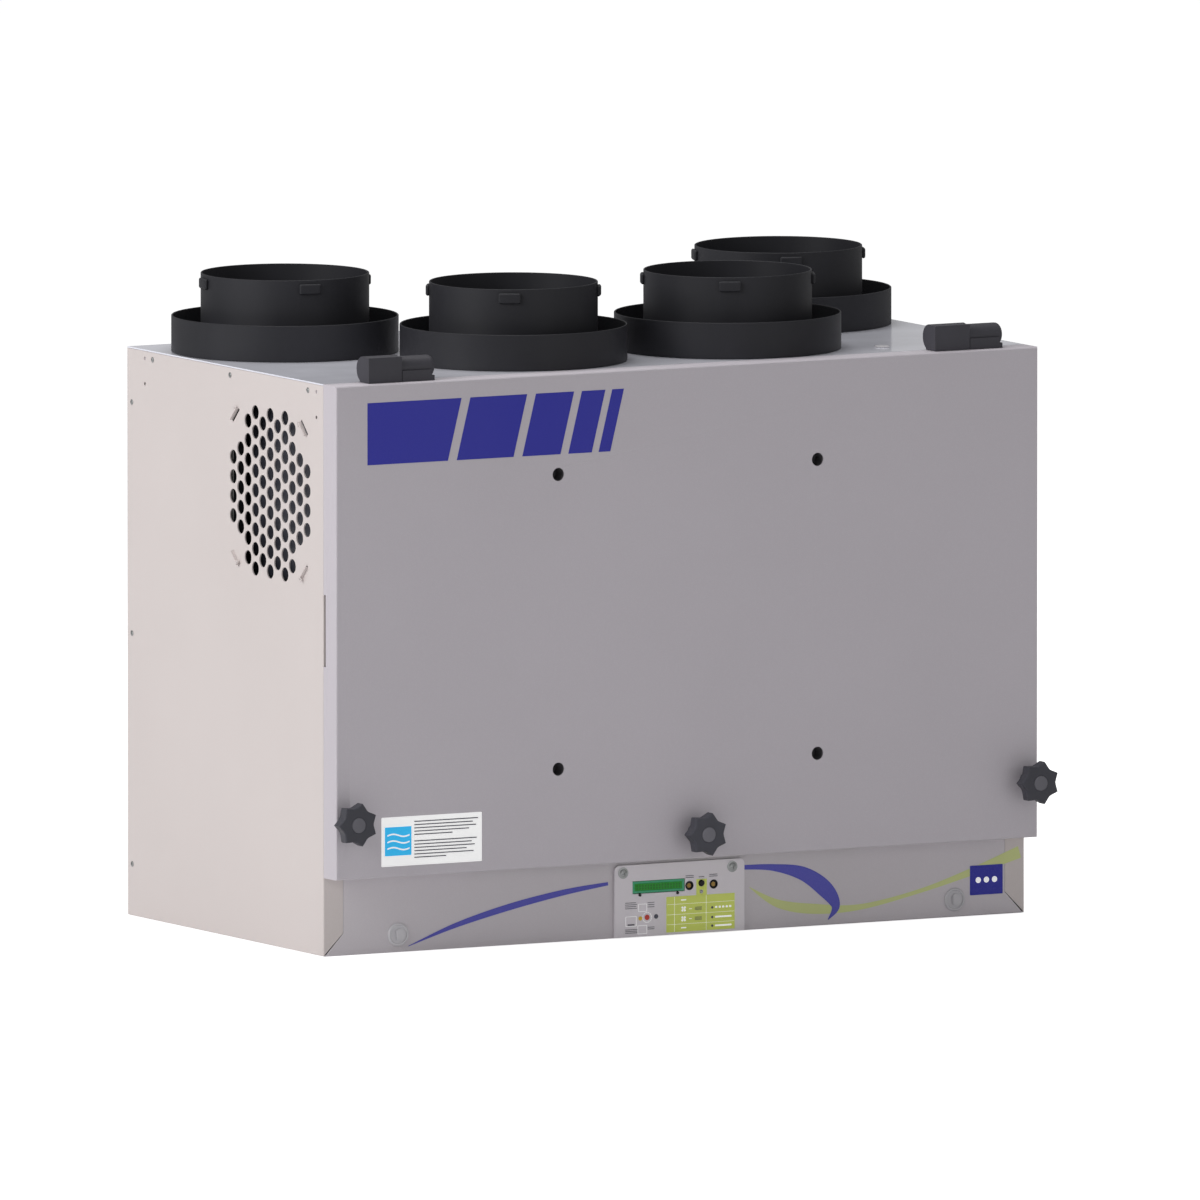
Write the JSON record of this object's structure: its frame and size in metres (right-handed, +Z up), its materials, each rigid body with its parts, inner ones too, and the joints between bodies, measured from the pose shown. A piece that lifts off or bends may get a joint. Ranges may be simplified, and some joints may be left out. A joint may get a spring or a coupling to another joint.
{
  "type": "heat recovery unit",
  "caption": "Sheet-metal ventilation cabinet with round double-collar duct ports on top, a top-hinged front door held by star knobs, a side grille and a small control panel.",
  "frame": {"origin": "centre of the cabinet underside", "axes": "+X right along the front, +Y towards the back, +Z up; the door faces -Y"},
  "size_m": [0.7376, 0.4232, 0.5885],
  "materials": {
    "cabinet_paint": "light grey powder coat, fine texture",
    "circuit_board": "green glass-fibre board",
    "collar_plastic": "moulded charcoal plastic",
    "core_plate": "thin translucent polymer sheets",
    "damper_plastic": "moulded grey plastic",
    "display_glass": "green backlit liquid crystal window",
    "door_paint": "grey powder coat, fine texture",
    "fan_plastic": "glass-filled black plastic",
    "filter_mat": "open polyester mat in a wire frame",
    "foam_board": "expanded bead foam",
    "galvanised_sheet": "zinc coated sheet",
    "gasket_rubber": "soft closed-cell strip",
    "hinge_plastic": "moulded black plastic",
    "knob_plastic": "moulded charcoal plastic",
    "plate_paint": "light grey powder coat with printed legend panel",
    "plated_steel": "zinc plated",
    "small_plastic": "moulded black plastic",
    "transformer_iron": "varnished laminations",
    "tray_plastic": "vacuum-formed grey plastic",
    "trimmer_brass": "turned, slotted"
  },
  "bodies": {
    "root": {"back_panel": "cabinet_paint", "base_pan": "cabinet_paint", "blower_case_left": "fan_plastic", "blower_case_right": "fan_plastic", "blower_motor_left": "fan_plastic", "blower_motor_right": "fan_plastic", "compartment_floor": "galvanised_sheet", "control_board": "circuit_board", "control_plate": "plate_paint", "core_block": "core_plate", "core_rail_bottom": "galvanised_sheet", "core_rail_left": "galvanised_sheet", "core_rail_right": "galvanised_sheet", "core_rail_top": "galvanised_sheet", "damper_actuator": "damper_plastic", "display_module": "display_glass", "drain_tube": "small_plastic", "drip_tray": "tray_plastic", "filter_left": "filter_mat", "filter_right": "filter_mat", "hinge_left_cabinet_half": "hinge_plastic", "hinge_left_pin": "plated_steel", "hinge_right_cabinet_half": "hinge_plastic", "hinge_right_pin": "plated_steel", "inner_collar_house_return": "collar_plastic", "inner_collar_house_supply": "collar_plastic", "inner_collar_outdoor_exhaust": "collar_plastic", "inner_collar_outdoor_intake": "collar_plastic", "left_side_panel": "cabinet_paint", "liner_back": "foam_board", "liner_left": "foam_board", "liner_right": "foam_board", "liner_top": "foam_board", "outer_collar_house_return": "collar_plastic", "outer_collar_house_supply": "collar_plastic", "outer_collar_outdoor_exhaust": "collar_plastic", "outer_collar_outdoor_intake": "collar_plastic", "right_side_panel": "cabinet_paint", "top_panel": "cabinet_paint", "transformer": "transformer_iron"},
    "door": {"door_skin": "door_paint", "door_insulation": "foam_board", "door_gasket": "gasket_rubber", "hinge_left_door_half": "hinge_plastic", "hinge_right_door_half": "hinge_plastic"},
    "knob_left_washer": {"knob_retainer_left": "small_plastic"},
    "knob_left": {"star_knob_left": "knob_plastic", "knob_stud_left": "plated_steel"},
    "knob_right_washer": {"knob_retainer_right": "small_plastic"},
    "knob_right": {"star_knob_right": "knob_plastic", "knob_stud_right": "plated_steel"},
    "knob_centre_washer": {"knob_retainer_centre": "small_plastic"},
    "knob_centre": {"star_knob_centre": "knob_plastic", "knob_stud_centre": "plated_steel"},
    "blower_wheel_left": {"blower_wheel_left": "fan_plastic"},
    "trimmer_left": {"trimmer_left": "trimmer_brass"},
    "blower_wheel_right": {"blower_wheel_right": "fan_plastic"},
    "trimmer_right": {"trimmer_right": "trimmer_brass"},
    "damper_flap": {"damper_flap": "damper_plastic"},
    "push_button": {"push_button": "small_plastic"}
  },
  "joints": [
    {"name": "door_swing", "type": "hinge", "parent": "root", "child": "door", "pos_m": [0, -0.193, 0.529], "axis": [-1, 0, 0], "range_deg": [0, 100]},
    {"name": "knob_left_travel", "type": "slide", "parent": "door", "child": "knob_left_washer", "axis": [0, -1, 0], "range_m": [0, 0.005]},
    {"name": "knob_left_turn", "type": "hinge", "parent": "knob_left_washer", "child": "knob_left", "pos_m": [-0.35, -0.2112, 0.123], "axis": [0, -1, 0], "range_deg": [0, 1440]},
    {"name": "knob_right_travel", "type": "slide", "parent": "door", "child": "knob_right_washer", "axis": [0, -1, 0], "range_m": [0, 0.005]},
    {"name": "knob_right_turn", "type": "hinge", "parent": "knob_right_washer", "child": "knob_right", "pos_m": [0.35, -0.2112, 0.123], "axis": [0, -1, 0], "range_deg": [0, 1440]},
    {"name": "knob_centre_travel", "type": "slide", "parent": "door", "child": "knob_centre_washer", "axis": [0, -1, 0], "range_m": [0, 0.005]},
    {"name": "knob_centre_turn", "type": "hinge", "parent": "knob_centre_washer", "child": "knob_centre", "pos_m": [0.008, -0.2112, 0.095], "axis": [0, -1, 0], "range_deg": [0, 1440]},
    {"name": "blower_left_spin", "type": "hinge", "parent": "root", "child": "blower_wheel_left", "pos_m": [-0.248, 0.0705, 0.186], "axis": [0, 1, 0], "continuous": true},
    {"name": "blower_right_spin", "type": "hinge", "parent": "root", "child": "blower_wheel_right", "pos_m": [0.248, 0.0705, 0.186], "axis": [0, 1, 0], "continuous": true},
    {"name": "damper_swing", "type": "hinge", "parent": "root", "child": "damper_flap", "pos_m": [-0.336, -0.17, 0.409], "axis": [0, 0, -1], "range_deg": [0, 80]},
    {"name": "button_press", "type": "slide", "parent": "root", "child": "push_button", "axis": [0, 1, 0], "range_m": [0, 0.0015], "stiffness_N_per_m": 300},
    {"name": "trimmer_left_turn", "type": "hinge", "parent": "root", "child": "trimmer_left", "pos_m": [0.013, -0.1896, 0.0441], "axis": [0, -1, 0], "range_deg": [-135, 135]},
    {"name": "trimmer_right_turn", "type": "hinge", "parent": "root", "child": "trimmer_right", "pos_m": [0.0379, -0.1896, 0.0441], "axis": [0, -1, 0], "range_deg": [-135, 135]}
  ],
  "couplings": [
    {"joint": "knob_left_travel", "follows": "knob_left_turn", "m_per_rad": 0.00019894},
    {"joint": "knob_right_travel", "follows": "knob_right_turn", "m_per_rad": 0.00019894},
    {"joint": "knob_centre_travel", "follows": "knob_centre_turn", "m_per_rad": 0.00019894}
  ]
}
